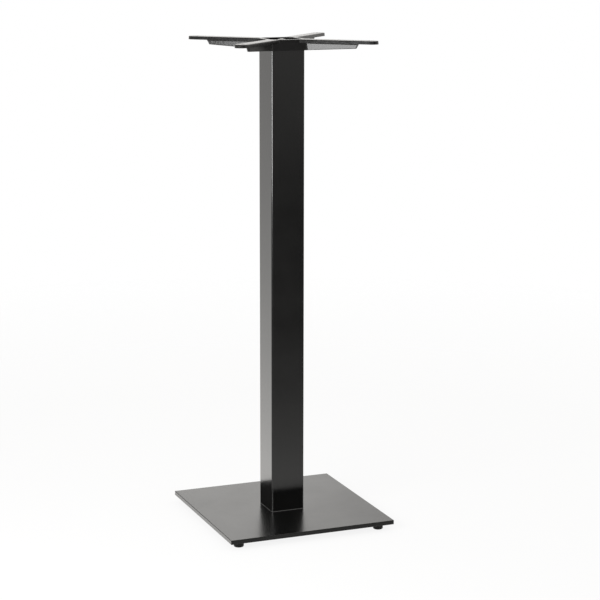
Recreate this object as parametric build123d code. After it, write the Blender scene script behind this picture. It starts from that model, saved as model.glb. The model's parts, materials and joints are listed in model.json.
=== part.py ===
from build123d import *
from math import radians, sqrt, tan
import os

# Base plate
plate_side = 400.0
plate_thickness = 10.0
plate_corner_radius = 1.0
plate_edge_radius = 0.8

# Levelling feet
foot_inset = 28.0
foot_thread = 8.0
foot_thread_pitch = 1.25
foot_hole_floor = 1.5
foot_stud_end_gap = 0.5
foot_thread_clearance = 0.1
foot_collar_flats = 13.0
foot_collar_height = 6.0
foot_pad_diameter = 23.0
foot_pad_height = 9.0
foot_pad_bottom_radius = 2.5
foot_pad_top_radius = 0.8
foot_head_diameter = 12.0
foot_head_height = 2.5
foot_head_floor = 3.0
foot_swivel_clearance = 0.1

# Column tube
tube_side = 80.0
tube_wall = 2.0
tube_inside_radius = 1.5
tube_length = 1080.0

# Locator inside the foot of the tube
locator_height = 8.0
locator_clearance = 0.3
locator_corner_room = 3.0
locator_lead_in = 1.5
pin_diameter = 6.0
pin_inset = 12.7
pin_floor = 3.0
pin_end_chamfer = 0.5

# Tie rod with its nuts and washers
rod_diameter = 10.0
rod_hole_clearance = 0.5
rod_end_chamfer = 1.0
rod_lower_end = 1.0
rod_upper_end = 1.5
rod_below_top = 0.5
nut_flats = 17.0
nut_height = 8.0
nut_face_share = 0.96
nut_chamfer_angle = 30.0
washer_diameter = 20.0
washer_thickness = 2.0
washer_clearance = 0.25

# Spider arms
arm_reach = 232.0
arm_width = 30.0
arm_thickness = 7.5
arm_edge_radius = 2.0
arm_draft = 4.0
arm_root_radius = 6.0
arm_count = 4
arm_turn = 45.0
screw_hole_inset = 22.0
screw_hole_diameter = 6.5

# Ribs under the arms
rib_thickness = 6.0
rib_draft = 3.0
rib_root_radius = 3.0
rib_edge_radius = 1.5
rib_hub_radius = 11.0
rib_cut_back = 46.0
rib_end_slope = 6.0
rib_end_depth = 11.0

# Spider hub: socket over the tube, floor on the tube's end, well for the upper nut
socket_depth = 7.0
socket_wall = 6.0
socket_clearance = 0.5
hub_floor = 6.0
well_wall = 10.0
well_corner_radius = 12.0
well_root_radius = 2.5
well_edge_radius = 1.5

# Nearness at which a corner or an edge is taken to lie on a line
pick_tolerance = 0.01

# Levels and sizes that follow from the values above
plate_bottom = foot_pad_height + foot_collar_height
plate_top = plate_bottom + plate_thickness
tube_top = plate_top + tube_length
well_bottom = tube_top + hub_floor
well_depth = washer_thickness + nut_height + rod_upper_end + rod_below_top
spider_top = well_bottom + well_depth
arm_bottom = spider_top - arm_thickness
hub_bottom = tube_top - socket_depth
hub_depth = arm_bottom - hub_bottom
tube_inside = tube_side - 2 * tube_wall
tube_corner_radius = tube_inside_radius + tube_wall
hub_side = tube_side + 2 * socket_clearance + 2 * socket_wall
hub_corner_radius = tube_corner_radius + socket_clearance + socket_wall
hub_corner_reach = (hub_side / 2 - hub_corner_radius) * sqrt(2) + hub_corner_radius
rib_start = hub_corner_reach - socket_wall / 2
rib_reach = arm_reach - rib_cut_back
screw_reach = arm_reach - screw_hole_inset
foot_spacing = plate_side - 2 * foot_inset
rod_hole_diameter = rod_diameter + 2 * rod_hole_clearance
well_side = hub_side - 2 * well_wall
locator_side = tube_inside - 2 * locator_clearance
locator_top = plate_top + locator_height
locator_corner_chamfer = tube_inside_radius + locator_corner_room
pin_reach = locator_side / 2 - pin_inset
foot_hole_depth = plate_thickness - foot_hole_floor
pin_depth = plate_thickness - pin_floor
lower_washer_bottom = plate_bottom - washer_thickness
lower_nut_bottom = lower_washer_bottom - nut_height
upper_nut_bottom = well_bottom + washer_thickness


def save(name, shape):
    export_step(shape, f"parts/{name}.step")


def at_height(z):
    return Plane.XY.offset(z)


def square(side, radius, bottom, height):
    return extrude(at_height(bottom) * RectangleRounded(side, side, radius), height)


def disc(diameter, bottom, height):
    return extrude(at_height(bottom) * Circle(diameter / 2), height)


def hexagon(flats, bottom, height):
    return extrude(at_height(bottom) * RegularPolygon(flats / 2, 6, major_radius=False), height)


def chamfered_hexagon(flats, bottom, height):
    corner = flats / sqrt(3)
    flat = flats / 2 * nut_face_share
    drop = (corner - flat) * tan(radians(nut_chamfer_angle))
    outline = Polyline(
        (0, bottom),
        (flat, bottom),
        (corner, bottom + drop),
        (corner, bottom + height - drop),
        (flat, bottom + height),
        (0, bottom + height),
        close=True,
    )
    turned = revolve(Plane.XZ * make_face(outline), Axis.Z)
    return hexagon(flats, bottom, height) & turned


def nut(bottom):
    return chamfered_hexagon(nut_flats, bottom, nut_height) - disc(rod_diameter, bottom, nut_height)


def washer(bottom):
    hole = disc(rod_diameter + 2 * washer_clearance, bottom, washer_thickness)
    return disc(washer_diameter, bottom, washer_thickness) - hole


def corners(spacing):
    half = spacing / 2
    return {"fl": (-half, -half), "fr": (half, -half), "bl": (-half, half), "br": (half, half)}


# Base plate with blind foot holes from below, pin holes and the rod's hole
def make_base_plate():
    plate = square(plate_side, plate_corner_radius, plate_bottom, plate_thickness)
    rims = plate.faces().filter_by(Axis.Z).edges()
    plate = fillet(rims, plate_edge_radius)
    plate -= disc(rod_hole_diameter, plate_bottom, plate_thickness)
    for x, y in corners(foot_spacing).values():
        plate -= Pos(x, y) * disc(foot_thread + 2 * foot_thread_clearance, plate_bottom, foot_hole_depth)
    for x in (-pin_reach, pin_reach):
        plate -= Pos(x, 0) * disc(pin_diameter, plate_top - pin_depth, pin_depth)
    return plate


# Locator that centres the tube on the plate
def make_locator():
    block = Pos(0, 0, plate_top + locator_height / 2) * Box(locator_side, locator_side, locator_height)
    block = chamfer(block.edges().filter_by(Axis.Z), locator_corner_chamfer)
    block = chamfer(block.faces().sort_by(Axis.Z)[-1].edges(), locator_lead_in)
    block -= disc(rod_hole_diameter, plate_top, locator_height)
    for x in (-pin_reach, pin_reach):
        block -= Pos(x, 0) * disc(pin_diameter, plate_top, locator_height)
    return block


def make_locator_pin():
    pin = disc(pin_diameter, plate_top - pin_depth, pin_depth + locator_height)
    return chamfer(pin.faces().filter_by(Axis.Z).edges(), pin_end_chamfer)


# Square column tube
def make_column_tube():
    tube = square(tube_side, tube_corner_radius, plate_top, tube_length)
    return tube - square(tube_inside, tube_corner_radius - tube_wall, plate_top, tube_length)


# Spider: top plate in the shape of a cross, ribs, socket and nut well in one casting
def around(shape):
    return [Rot(0, 0, arm_turn + 360 / arm_count * i) * shape for i in range(arm_count)]


def make_spider_top():
    straight = arm_reach - arm_width / 2
    arm = Pos(straight / 2, 0) * Rectangle(straight, arm_width) + Pos(straight, 0) * Circle(arm_width / 2)
    plan = RectangleRounded(hub_side, hub_side, hub_corner_radius)
    for turned in around(arm):
        plan += turned
    side = hub_side / 2
    inner = [v for v in plan.vertices() if abs(max(abs(v.X), abs(v.Y)) - side) < pick_tolerance]
    plan = fillet(inner, arm_root_radius)
    top = extrude(at_height(arm_bottom) * plan, arm_thickness, taper=arm_draft)
    return fillet(top.faces().sort_by(Axis.Z)[-1].edges(), arm_edge_radius)


def below_rib():
    outline = Polyline(
        (rib_start, -hub_depth),
        (rib_reach - rib_end_slope, -rib_end_depth),
        (rib_reach, 0),
        (rib_reach + arm_width, 0),
        (rib_reach + arm_width, -2 * hub_depth),
        (rib_start, -2 * hub_depth),
        close=True,
    )
    return extrude(Plane.XZ * make_face(outline), arm_width, both=True)


def make_rib():
    half = rib_thickness / 2
    root = half + hub_depth * tan(radians(rib_draft))
    section = Polyline(
        (-root, 0),
        (-half, -hub_depth),
        (half, -hub_depth),
        (root, 0),
        (root + rib_root_radius, 0),
        (root + rib_root_radius, arm_thickness / 2),
        (-root - rib_root_radius, arm_thickness / 2),
        (-root - rib_root_radius, 0),
        close=True,
    )
    face = make_face(section)
    level = [v for v in face.vertices() if abs(v.Y) < pick_tolerance]
    bends = [v for v in level if abs(abs(v.X) - root) < pick_tolerance]
    face = fillet(bends, rib_root_radius)
    rib = extrude(Plane.YZ.offset(rib_start) * face, rib_reach - rib_start)
    rib -= below_rib()
    beyond = (rib_start + rib_reach) / 2 - rib_end_slope
    lower = [e for e in rib.edges() if e.center().Z < -rib_root_radius and e.center().X > beyond]
    return Pos(0, 0, arm_bottom) * fillet(lower, rib_edge_radius)


# Block of the hub, flared into the ribs at the corners
def make_hub_block():
    plan = RectangleRounded(hub_side, hub_side, hub_corner_radius)
    length = hub_corner_reach + rib_hub_radius + rib_thickness
    for strip in around(Pos(length / 2, 0) * Rectangle(length, rib_thickness)):
        plan += strip
    across = rib_thickness / sqrt(2)
    inner = [v for v in plan.vertices() if abs(abs(abs(v.X) - abs(v.Y)) - across) < pick_tolerance]
    inner = [v for v in inner if sqrt(v.X**2 + v.Y**2) < length - pick_tolerance]
    block = extrude(fillet(inner, rib_hub_radius), -hub_depth)
    for wedge in around(below_rib()):
        block -= wedge
    return Pos(0, 0, arm_bottom) * block


def make_well():
    well = square(well_side, well_corner_radius, well_bottom, well_depth)
    return fillet(well.faces().sort_by(Axis.Z)[0].edges(), well_root_radius)


def make_spider():
    spider = make_spider_top() + make_hub_block()
    for rib in around(make_rib()):
        spider += rib
    socket_side = tube_side + 2 * socket_clearance
    spider -= square(socket_side, tube_corner_radius + socket_clearance, hub_bottom, socket_depth)
    spider -= make_well()
    reach = well_side / 2 + pick_tolerance
    rim = [e for e in spider.edges().group_by(Axis.Z)[-1] if max(abs(e.center().X), abs(e.center().Y)) < reach]
    spider = fillet(rim, well_edge_radius)
    spider -= disc(rod_hole_diameter, tube_top, hub_floor)
    for hole in around(Pos(screw_reach, 0) * disc(screw_hole_diameter, arm_bottom, arm_thickness)):
        spider -= hole
    return spider


# Tie rod from below the lower nut to just above the upper nut
def make_tie_rod():
    bottom = lower_nut_bottom - rod_lower_end
    top = upper_nut_bottom + nut_height + rod_upper_end
    rod = disc(rod_diameter, bottom, top - bottom)
    return chamfer(rod.faces().filter_by(Axis.Z).edges(), rod_end_chamfer)


# Levelling foot: stud with collar and swivel head, and the pad moulded round the head
def make_foot_stud():
    stud = chamfered_hexagon(foot_collar_flats, foot_pad_height, foot_collar_height)
    thread = disc(foot_thread, plate_bottom, foot_hole_depth - foot_stud_end_gap)
    stud += chamfer(thread.faces().sort_by(Axis.Z)[-1].edges(), foot_thread_pitch / 2)
    stud += disc(foot_thread, foot_head_floor, foot_pad_height - foot_head_floor)
    stud += disc(foot_head_diameter, foot_head_floor, foot_head_height)
    return stud


def make_foot_pad():
    pad = disc(foot_pad_diameter, 0, foot_pad_height)
    pad = fillet(pad.faces().sort_by(Axis.Z)[0].edges(), foot_pad_bottom_radius)
    pad = fillet(pad.faces().sort_by(Axis.Z)[-1].edges(), foot_pad_top_radius)
    gap = foot_swivel_clearance
    pad -= disc(foot_head_diameter + 2 * gap, foot_head_floor, foot_head_height + gap)
    pad -= disc(foot_thread + 2 * gap, foot_head_floor, foot_pad_height - foot_head_floor)
    return pad


os.makedirs("parts", exist_ok=True)
save("base_plate", make_base_plate())
save("column_locator", make_locator())
save("locator_pin_left", Pos(-pin_reach, 0) * make_locator_pin())
save("locator_pin_right", Pos(pin_reach, 0) * make_locator_pin())
save("column_tube", make_column_tube())
save("spider", make_spider())
save("tie_rod", make_tie_rod())
save("rod_lower_washer", washer(lower_washer_bottom))
save("rod_lower_nut", nut(lower_nut_bottom))
save("rod_locator_washer", washer(locator_top))
save("rod_locator_nut", nut(locator_top + washer_thickness))
save("rod_upper_washer", washer(well_bottom))
save("rod_upper_nut", nut(upper_nut_bottom))

foot_stud = make_foot_stud()
foot_pad = make_foot_pad()
for corner, (x, y) in corners(foot_spacing).items():
    save(f"foot_stud_{corner}", Pos(x, y) * foot_stud)
    save(f"foot_pad_{corner}", Pos(x, y) * foot_pad)
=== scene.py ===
import json
from math import cos, floor, pi, radians, sin, tan

import bmesh
import bpy
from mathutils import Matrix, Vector


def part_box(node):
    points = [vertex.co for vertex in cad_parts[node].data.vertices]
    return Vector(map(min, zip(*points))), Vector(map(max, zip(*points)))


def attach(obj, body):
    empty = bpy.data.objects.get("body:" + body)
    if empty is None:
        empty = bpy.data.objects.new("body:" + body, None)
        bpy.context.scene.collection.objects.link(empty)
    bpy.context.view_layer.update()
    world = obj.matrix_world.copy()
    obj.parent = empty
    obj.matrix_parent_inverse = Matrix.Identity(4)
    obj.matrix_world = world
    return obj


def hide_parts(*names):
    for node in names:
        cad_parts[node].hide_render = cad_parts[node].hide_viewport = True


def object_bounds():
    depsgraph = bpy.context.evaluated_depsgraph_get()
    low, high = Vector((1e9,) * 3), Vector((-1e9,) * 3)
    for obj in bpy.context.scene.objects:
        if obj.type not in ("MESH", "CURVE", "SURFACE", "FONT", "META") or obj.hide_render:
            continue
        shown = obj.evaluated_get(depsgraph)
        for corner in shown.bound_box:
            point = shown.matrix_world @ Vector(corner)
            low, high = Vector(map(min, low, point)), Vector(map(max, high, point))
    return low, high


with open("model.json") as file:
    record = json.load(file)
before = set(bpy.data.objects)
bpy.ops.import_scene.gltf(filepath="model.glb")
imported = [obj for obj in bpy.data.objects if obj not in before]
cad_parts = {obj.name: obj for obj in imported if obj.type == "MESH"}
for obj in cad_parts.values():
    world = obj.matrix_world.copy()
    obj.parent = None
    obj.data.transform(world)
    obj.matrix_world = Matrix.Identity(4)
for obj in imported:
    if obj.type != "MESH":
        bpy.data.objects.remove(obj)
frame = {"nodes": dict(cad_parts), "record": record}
cad_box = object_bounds()

# Camera, in metres and degrees, fitted to the photograph
camera_distance = 4.2973
camera_azimuth = 21.518
camera_height = 1.4068
camera_yaw = 21.526
camera_pitch = 11.645
camera_sensor = 36
camera_lens = 113.669
camera_shift = 0.03

# Threads
rod_pitch = 0.0015
rod_thread_length = 0.03
rod_end_chamfer = 0.001
stud_pitch = 0.00125
thread_depth_share = 0.6
rings_per_turn = 6
segments = 48

# Levelling stud, at the sizes of the solid that it stands for
stud_thread_radius = 0.004
stud_head_radius = 0.006
stud_head_height = 0.0025
stud_collar_flats = 0.013
stud_collar_bottom = 0.009
stud_collar_top = 0.015
collar_face_share = 0.96
collar_chamfer = radians(30)
collar_steps = 24

# Bead of paint round the foot of the column
bead_leg = 0.0012
bead_steps = 6
tube_corner_radius = 0.0035
corner_steps = 8
corner_signs = ((1, 1), (-1, 1), (-1, -1), (1, -1))

# Meshes made here
merge_distance = 1e-7
sharp_angle = radians(32)

# Range of a noise that a colour or a roughness is spread over; a narrower one leaves outlines where it clips
noise_low = 0.1
noise_high = 0.9

# Paint; patches are a noise's scale and detail, and a grain has its height in metres and its strength too
black = (0.0014, 0.0014, 0.0013)
worn_black = (0.0036, 0.0035, 0.0034)
cast_black = (0.0056, 0.0054, 0.0052)
paint_patches = (9, 4)
fine_peel = (600, 2, 0.00003, 0.04)
cast_peel = (900, 2, 0.00008, 0.2)
cast_lumps = (110, 3, 0.0006, 0.5)
plate_edge_radius = 0.002

# Zinc plate
zinc_blue = (0.52, 0.53, 0.58)
zinc_yellow = (0.72, 0.70, 0.64)
zinc_roughness = (0.22, 0.46)
zinc_patches = (180, 3)
zinc_grain = (1500, 2, 0.00005, 0.2)

# Moulded nylon
nylon_dark = (0.006, 0.006, 0.006)
nylon_light = (0.016, 0.016, 0.016)
nylon_roughness = (0.38, 0.62)
nylon_grain = (900, 3, 0.00008, 0.25)

# Floor: the white and the shade that the camera sees, and the tone that lights the object from below
floor_white = 0.87
floor_shade = 0.17
floor_tone = 0.85
floor_radius = 3.0
floor_fade_share = 0.4
floor_gap = 0.0002
floor_segments = 96

# Light of the world on matt surfaces
warm_white = (1, 0.985, 0.96, 1)
light_level = 0.55

# World that the paint mirrors: levels are shares of white, a rim is the range over which a part fades
dark_level = 0.01
backdrop_middle = (0.36, 0.90, 0.25)
backdrop_rim = (0.80, 0.97)
backdrop_level = 1.06
backdrop_right = (0.930, -0.367, 0)
backdrop_right_rim = (0.02, 0.08)
backdrop_right_share = 0.55
backdrop_foot_rim = (0.05, 0.2)
backdrop_foot_share = 0.66
overhead_rim = (0.5, 0.92)
back_rim = (0.4, 0.9)
horizon_rim = (0, 0.15)
ground_nearest = -0.29
behind_power = 3.4
behind_rise = 0.75
behind_least = 0.44
ahead_power = 12
ahead_rise = 0.50
far_glow_rim = (-0.16, -0.06)
far_glow_level = 0.26

# Pale cards round the object that the paint mirrors from the sides and from behind, in degrees from +X
card_turns = (20, 165, 255, 330)
card_height = 0.28
card_rim = (0.86, 1)
card_level = 0.5

# Softbox, in metres, with the brightness of its face
softbox_place = (-1.26, -0.86, 0.81)
softbox_aim = (0.11, -0.25, 0.81)
softbox_width = 1.0
softbox_height = 0.50
softbox_brightness = 7.3


# Node trees

def add(tree, kind, settings=None, **inputs):
    node = tree.nodes.new(kind)
    for key, value in (settings or {}).items():
        setattr(node, key, value)
    for key, value in inputs.items():
        node.inputs[key.replace("_", " ")].default_value = value
    return node


def noise(tree, scale, detail):
    place = add(tree, "ShaderNodeTexCoord")
    texture = add(tree, "ShaderNodeTexNoise", Scale=scale, Detail=detail)
    tree.links.new(place.outputs["Object"], texture.inputs["Vector"])
    return texture.outputs["Fac"]


def remap(tree, value, start, end, low, high):
    node = add(tree, "ShaderNodeMapRange", From_Min=start, From_Max=end, To_Min=low, To_Max=high)
    tree.links.new(value, node.inputs["Value"])
    return node.outputs["Result"]


def ramp(tree, value, dark, light):
    node = add(tree, "ShaderNodeValToRGB")
    first, last = node.color_ramp.elements
    first.position = noise_low
    first.color = (*dark, 1)
    last.position = noise_high
    last.color = (*light, 1)
    tree.links.new(value, node.inputs["Fac"])
    return node.outputs["Color"]


def bump(tree, height, distance, strength, below=None):
    node = add(tree, "ShaderNodeBump", Strength=strength, Distance=distance)
    tree.links.new(height, node.inputs["Height"])
    if below:
        tree.links.new(below, node.inputs["Normal"])
    return node.outputs["Normal"]


# Bump from a noise of its own
def grain_bump(tree, grain, below=None):
    scale, detail, distance, strength = grain
    return bump(tree, noise(tree, scale, detail), distance, strength, below)


def calculate(tree, operation, *values):
    node = add(tree, "ShaderNodeMath", {"operation": operation})
    for socket, value in zip(node.inputs, values):
        if isinstance(value, (int, float)):
            socket.default_value = value
        else:
            tree.links.new(value, socket)
    return node.outputs["Value"]


def dot(tree, vector, direction):
    node = add(tree, "ShaderNodeVectorMath", {"operation": "DOT_PRODUCT"})
    node.inputs[1].default_value = direction
    tree.links.new(vector, node.inputs[0])
    return node.outputs["Value"]


def mix(tree, factor, first, second):
    node = add(tree, "ShaderNodeMixShader")
    tree.links.new(factor, node.inputs["Fac"])
    tree.links.new(first, node.inputs[1])
    tree.links.new(second, node.inputs[2])
    return node.outputs["Shader"]


# Materials

def new_material(name):
    material = bpy.data.materials.new(name)
    material.use_nodes = True
    return material, material.node_tree, material.node_tree.nodes["Principled BSDF"]


# Black paint under a clear gloss: patches of tone, a fine orange peel, lumps on castings, edges shaded round
def paint(name, dark, light, smooth, rough, specular, gloss, peel, lumps=None, edge=None):
    material, tree, shader = new_material(name)
    patches = noise(tree, *paint_patches)
    tree.links.new(ramp(tree, patches, dark, light), shader.inputs["Base Color"])
    tree.links.new(remap(tree, patches, noise_low, noise_high, smooth, rough), shader.inputs["Roughness"])
    normal = add(tree, "ShaderNodeBevel", Radius=edge).outputs["Normal"] if edge else None
    if lumps:
        normal = grain_bump(tree, lumps, normal)
    normal = grain_bump(tree, peel, normal)
    tree.links.new(normal, shader.inputs["Normal"])
    tree.links.new(normal, shader.inputs["Coat Normal"])
    shader.inputs["Coat Weight"].default_value = 1
    shader.inputs["Coat Roughness"].default_value = gloss
    shader.inputs["Specular IOR Level"].default_value = specular
    return material


# Bluish and yellowish patches on bright steel
def zinc(name):
    material, tree, shader = new_material(name)
    patches = noise(tree, *zinc_patches)
    tree.links.new(ramp(tree, patches, zinc_blue, zinc_yellow), shader.inputs["Base Color"])
    tree.links.new(remap(tree, patches, noise_low, noise_high, *zinc_roughness), shader.inputs["Roughness"])
    tree.links.new(grain_bump(tree, zinc_grain), shader.inputs["Normal"])
    shader.inputs["Metallic"].default_value = 1
    return material


# One fine grain for tone, roughness and bump
def plastic(name):
    material, tree, shader = new_material(name)
    scale, detail, distance, strength = nylon_grain
    grain = noise(tree, scale, detail)
    tree.links.new(ramp(tree, grain, nylon_dark, nylon_light), shader.inputs["Base Color"])
    tree.links.new(remap(tree, grain, noise_low, noise_high, *nylon_roughness), shader.inputs["Roughness"])
    tree.links.new(bump(tree, grain, distance, strength), shader.inputs["Normal"])
    return material


finishes = {
    "plate_paint": paint(
        "plate_paint", black, worn_black,
        smooth=0.24, rough=0.40, specular=0.25, gloss=0.24, peel=fine_peel, edge=plate_edge_radius,
    ),
    "column_paint": paint(
        "column_paint", black, worn_black,
        smooth=0.14, rough=0.26, specular=1.0, gloss=0.12, peel=fine_peel,
    ),
    "spider_paint": paint(
        "spider_paint", worn_black, cast_black,
        smooth=0.24, rough=0.46, specular=0.25, gloss=0.2, peel=cast_peel, lumps=cast_lumps,
    ),
    "zinc_steel": zinc("zinc_steel"),
    "stud_steel": zinc("stud_steel"),
    "pad_plastic": plastic("pad_plastic"),
}


def dress(obj, slot):
    obj.data.materials.clear()
    obj.data.materials.append(finishes[slot])


for subpart in frame["record"]["subparts"]:
    dress(frame["nodes"][subpart["node"]], subpart["material_slot"])


# Pieces made here

def new_object(name, mesh):
    bmesh.ops.remove_doubles(mesh, verts=mesh.verts, dist=merge_distance)
    bmesh.ops.recalc_face_normals(mesh, faces=mesh.faces)
    data = bpy.data.meshes.new(name)
    mesh.to_mesh(data)
    mesh.free()
    data.polygons.foreach_set("use_smooth", [True] * len(data.polygons))
    data.set_sharp_from_angle(angle=sharp_angle)
    obj = bpy.data.objects.new(name, data)
    bpy.context.scene.collection.objects.link(obj)
    return obj


def join_rings(mesh, rings):
    for low, high in zip(rings, rings[1:]):
        for i in range(len(low)):
            mesh.faces.new((low[i - 1], low[i], high[i], high[i - 1]))


def add_piece(obj, body, slot, *nodes):
    dress(obj, slot)
    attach(obj, body)
    if nodes:
        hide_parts(*nodes)


# Each of the next four gives the radius of a turned piece as a function of angle and height
def plain(radius):
    return lambda angle, z: radius


def cone(start, low, end, high):
    return lambda angle, z: low + (high - low) * (z - start) / (end - start)


def thread(radius, pitch, start, end):
    depth = thread_depth_share * pitch

    def at(angle, z):
        turns = z / pitch - angle / (2 * pi)
        groove = abs(2 * (turns - floor(turns)) - 1)
        fade = min(1, (z - start) / pitch, (end - z) / pitch)
        return radius - depth * groove * max(0, fade)

    return at


def collar(flats, bottom, top):
    face = flats / 2 * collar_face_share

    def at(angle, z):
        across = (angle + pi / 6) % (pi / 3) - pi / 6
        slope = face + min(z - bottom, top - z) / tan(collar_chamfer)
        return min(flats / 2 / cos(across), slope)

    return at


# Closed piece from stretches of rings: bottom, top, number of steps, radius
def turned(name, axis, stretches):
    mesh = bmesh.new()
    angles = [2 * pi * k / segments for k in range(segments)]
    rings = []
    for bottom, top, steps, radius in stretches:
        for i in range(steps + 1):
            z = bottom + (top - bottom) * i / steps
            ring = []
            for angle in angles:
                x = axis[0] + radius(angle, z) * cos(angle)
                y = axis[1] + radius(angle, z) * sin(angle)
                ring.append(mesh.verts.new((x, y, z)))
            rings.append(ring)
    join_rings(mesh, rings)
    mesh.faces.new(rings[0])
    mesh.faces.new(rings[-1])
    return new_object(name, mesh)


def make_rod():
    low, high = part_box("tie_rod")
    radius = (high[0] - low[0]) / 2
    end_radius = radius - rod_end_chamfer
    steps = int(rod_thread_length / rod_pitch * rings_per_turn)
    bottom = low[2]
    low_start = bottom + rod_end_chamfer
    low_end = bottom + rod_thread_length
    top = high[2]
    high_start = top - rod_thread_length
    high_end = top - rod_end_chamfer
    rod = turned("tie_rod_threaded", (0, 0), [
        (bottom, low_start, 1, cone(bottom, end_radius, low_start, radius)),
        (low_start, low_end, steps, thread(radius, rod_pitch, low_start, low_end)),
        (high_start, high_end, steps, thread(radius, rod_pitch, high_start, high_end)),
        (high_end, top, 1, cone(high_end, radius, top, end_radius)),
    ])
    add_piece(rod, "base", "zinc_steel", "tie_rod")


def make_stud(corner):
    node = f"foot_stud_{corner}"
    low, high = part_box(node)
    axis = ((low[0] + high[0]) / 2, (low[1] + high[1]) / 2)
    radius = stud_thread_radius
    steps = int((high[2] - stud_collar_top) / stud_pitch * rings_per_turn)
    bottom = low[2]
    head_top = bottom + stud_head_height
    top = high[2]
    chamfer = stud_pitch / 2
    thread_end = top - chamfer
    hexagon = collar(stud_collar_flats, stud_collar_bottom, stud_collar_top)
    stud = turned(f"foot_stud_threaded_{corner}", axis, [
        (bottom, head_top, 1, plain(stud_head_radius)),
        (head_top, stud_collar_bottom, 1, plain(radius)),
        (stud_collar_bottom, stud_collar_top, collar_steps, hexagon),
        (stud_collar_top, thread_end, steps, thread(radius, stud_pitch, stud_collar_top, top)),
        (thread_end, top, 1, cone(thread_end, radius, top, radius - chamfer)),
    ])
    add_piece(stud, f"stud_{corner}", "stud_steel", node)


# Hollow fillet between the column and the plate
def make_foot_bead():
    low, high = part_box("column_tube")
    inner = high[0] - tube_corner_radius
    profile = []
    for step in range(bead_steps + 1):
        angle = pi / 2 * step / bead_steps
        profile.append((bead_leg * (1 - cos(angle)), bead_leg * (1 - sin(angle))))
    profile.append((0, 0))
    mesh = bmesh.new()
    rings = []
    for out, up in profile:
        radius = tube_corner_radius + out
        ring = []
        for quarter, (sign_x, sign_y) in enumerate(corner_signs):
            for k in range(corner_steps + 1):
                turn = pi / 2 * (quarter + k / corner_steps)
                x = inner * sign_x + radius * cos(turn)
                y = inner * sign_y + radius * sin(turn)
                ring.append(mesh.verts.new((x, y, low[2] + up)))
        rings.append(ring)
    join_rings(mesh, rings + rings[:1])
    add_piece(new_object("column_foot_bead", mesh), "base", "column_paint")


make_rod()
for corner in ("fl", "fr", "bl", "br"):
    make_stud(corner)
make_foot_bead()


# Floor: white to the eye, with the object's shadow, and gone before its edge
def make_floor():
    mesh = bmesh.new()
    bmesh.ops.create_circle(mesh, cap_ends=True, segments=floor_segments, radius=floor_radius)
    obj = new_object("floor", mesh)
    obj.location.z = cad_box[0][2] - floor_gap
    obj.visible_glossy = False
    material, tree, shader = new_material("floor")
    tree.nodes.remove(shader)
    rays = add(tree, "ShaderNodeLightPath")
    matt = add(tree, "ShaderNodeBsdfDiffuse", Color=(*[floor_tone] * 3, 1)).outputs[0]
    white = add(tree, "ShaderNodeEmission", Strength=floor_white).outputs[0]
    shade = add(tree, "ShaderNodeBsdfDiffuse", Color=(*[floor_shade] * 3, 1)).outputs[0]
    seen = add(tree, "ShaderNodeAddShader")
    tree.links.new(white, seen.inputs[0])
    tree.links.new(shade, seen.inputs[1])
    surface = mix(tree, rays.outputs["Is Camera Ray"], matt, seen.outputs[0])
    place = add(tree, "ShaderNodeTexCoord").outputs["Object"]
    spread = add(tree, "ShaderNodeVectorMath", {"operation": "LENGTH"})
    tree.links.new(place, spread.inputs[0])
    fade = remap(tree, spread.outputs["Value"], floor_fade_share * floor_radius, floor_radius, 0, 1)
    clear = add(tree, "ShaderNodeBsdfTransparent").outputs[0]
    out = tree.nodes["Material Output"]
    tree.links.new(mix(tree, fade, surface, clear), out.inputs["Surface"])
    obj.data.materials.append(material)


# White backdrop, darker on its right and at its foot
def mirrored_backdrop(tree, direction, height):
    level = remap(tree, dot(tree, direction, backdrop_middle), *backdrop_rim, 0, backdrop_level)
    right = remap(tree, dot(tree, direction, backdrop_right), *backdrop_right_rim, 1, backdrop_right_share)
    foot = remap(tree, height, *backdrop_foot_rim, backdrop_foot_share, 1)
    level = calculate(tree, "MULTIPLY", level, right)
    return calculate(tree, "MULTIPLY", level, foot)


# Pale floor: bright behind the object, dim in front but for its nearest part and a far glow
def mirrored_ground(tree, direction, height):
    back = remap(tree, dot(tree, direction, (0, 1, 0)), *back_rim, 0, 1)
    nearer = remap(tree, height, 0, ground_nearest, 0, 1)
    rise = calculate(tree, "POWER", nearer, behind_power)
    behind = calculate(tree, "MULTIPLY_ADD", rise, behind_rise, behind_least)
    glow = remap(tree, height, *far_glow_rim, 0, far_glow_level)
    rise = calculate(tree, "POWER", nearer, ahead_power)
    ahead = calculate(tree, "MULTIPLY_ADD", rise, ahead_rise, glow)
    change = calculate(tree, "SUBTRACT", behind, ahead)
    around = calculate(tree, "MULTIPLY_ADD", back, change, ahead)
    return calculate(tree, "MULTIPLY", around, remap(tree, height, *horizon_rim, 1, 0))


def mirrored_card(tree, direction, turn):
    place = Vector((cos(radians(turn)), sin(radians(turn)), card_height)).normalized()
    return remap(tree, dot(tree, direction, place), *card_rim, 0, card_level)


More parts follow.
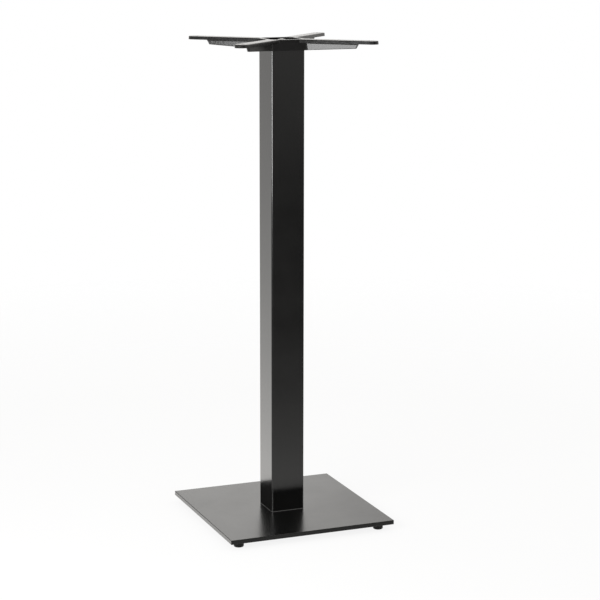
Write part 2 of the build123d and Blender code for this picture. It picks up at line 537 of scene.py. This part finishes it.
# World: white to the eye, a plain light on matt surfaces, and a studio that gloss mirrors
def make_world():
    world = bpy.data.worlds.new("studio")
    world.use_nodes = True
    bpy.context.scene.world = world
    tree = world.node_tree
    tree.nodes.clear()
    rays = add(tree, "ShaderNodeLightPath")
    direction = add(tree, "ShaderNodeTexCoord").outputs["Generated"]
    height = dot(tree, direction, (0, 0, 1))
    parts = [
        mirrored_backdrop(tree, direction, height),
        remap(tree, height, *overhead_rim, 0, 1),
        mirrored_ground(tree, direction, height),
    ]
    for turn in card_turns:
        parts.append(mirrored_card(tree, direction, turn))
    level = dark_level
    for part in parts:
        level = calculate(tree, "ADD", part, level)
    gloss = add(tree, "ShaderNodeBackground", Color=warm_white)
    tree.links.new(level, gloss.inputs["Strength"])
    light = add(tree, "ShaderNodeBackground", Color=warm_white, Strength=light_level).outputs[0]
    white = add(tree, "ShaderNodeBackground", Color=(1, 1, 1, 1)).outputs[0]
    lit = mix(tree, rays.outputs["Is Glossy Ray"], light, gloss.outputs[0])
    through = calculate(tree, "MAXIMUM", rays.outputs["Is Camera Ray"], rays.outputs["Is Transmission Ray"])
    out = add(tree, "ShaderNodeOutputWorld")
    tree.links.new(mix(tree, through, lit, white), out.inputs["Surface"])


def add_softbox():
    lamp = bpy.data.lights.new("softbox_left", "AREA")
    lamp.shape = "RECTANGLE"
    lamp.size = softbox_width
    lamp.size_y = softbox_height
    lamp.energy = softbox_brightness * pi * softbox_width * softbox_height
    obj = bpy.data.objects.new("softbox_left", lamp)
    obj.location = softbox_place
    aim = Vector(softbox_aim) - Vector(softbox_place)
    obj.rotation_euler = aim.to_track_quat("-Z", "Y").to_euler()
    bpy.context.scene.collection.objects.link(obj)


def add_camera():
    camera = bpy.data.cameras.new("camera")
    camera.sensor_width = camera_sensor
    camera.lens = camera_lens
    camera.shift_x = camera_shift
    obj = bpy.data.objects.new("camera", camera)
    azimuth = radians(camera_azimuth)
    obj.location = (-camera_distance * sin(azimuth), -camera_distance * cos(azimuth), camera_height)
    obj.rotation_euler = (radians(90 - camera_pitch), 0, radians(-camera_yaw))
    bpy.context.scene.collection.objects.link(obj)
    bpy.context.scene.camera = obj


make_floor()
make_world()
add_softbox()
add_camera()
bpy.context.scene.view_settings.view_transform = "Standard"
